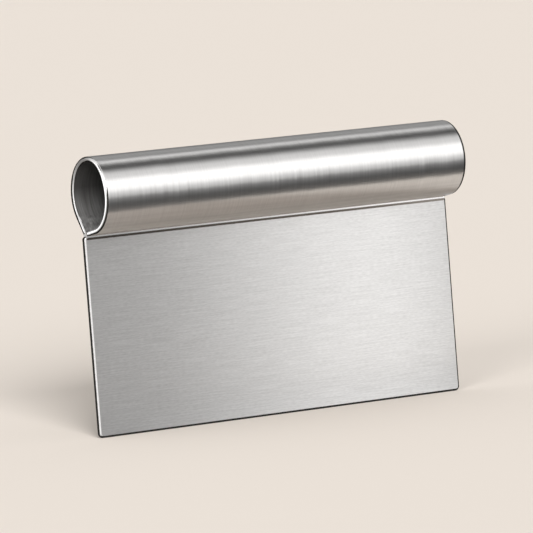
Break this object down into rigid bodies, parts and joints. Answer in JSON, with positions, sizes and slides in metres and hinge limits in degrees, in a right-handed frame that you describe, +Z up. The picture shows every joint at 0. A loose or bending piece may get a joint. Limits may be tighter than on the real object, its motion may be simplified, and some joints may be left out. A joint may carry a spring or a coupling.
{
  "type": "dough scraper",
  "caption": "Bench scraper for cutting and lifting dough: a flat rectangular steel blade welded under an open-ended rolled tube handle that stands forward of the blade.",
  "frame": {"origin": "middle of the blade's lower edge", "axes": "+X along the scraping edge, -Y the front, where the tube stands forward, +Z up from the edge to the handle"},
  "size_m": [0.1524, 0.0278, 0.1013],
  "materials": {
    "blade_steel": "satin stainless with fine straight grain along the blade's width",
    "tube_steel": "bright stainless with fine grain running round the tube",
    "weld_steel": "dressed weld metal, smooth and slightly darker than the sheet"
  },
  "bodies": {
    "root": {"blade": "blade_steel", "handle_tube": "tube_steel", "seam_weld": "weld_steel"}
  },
  "joints": []
}
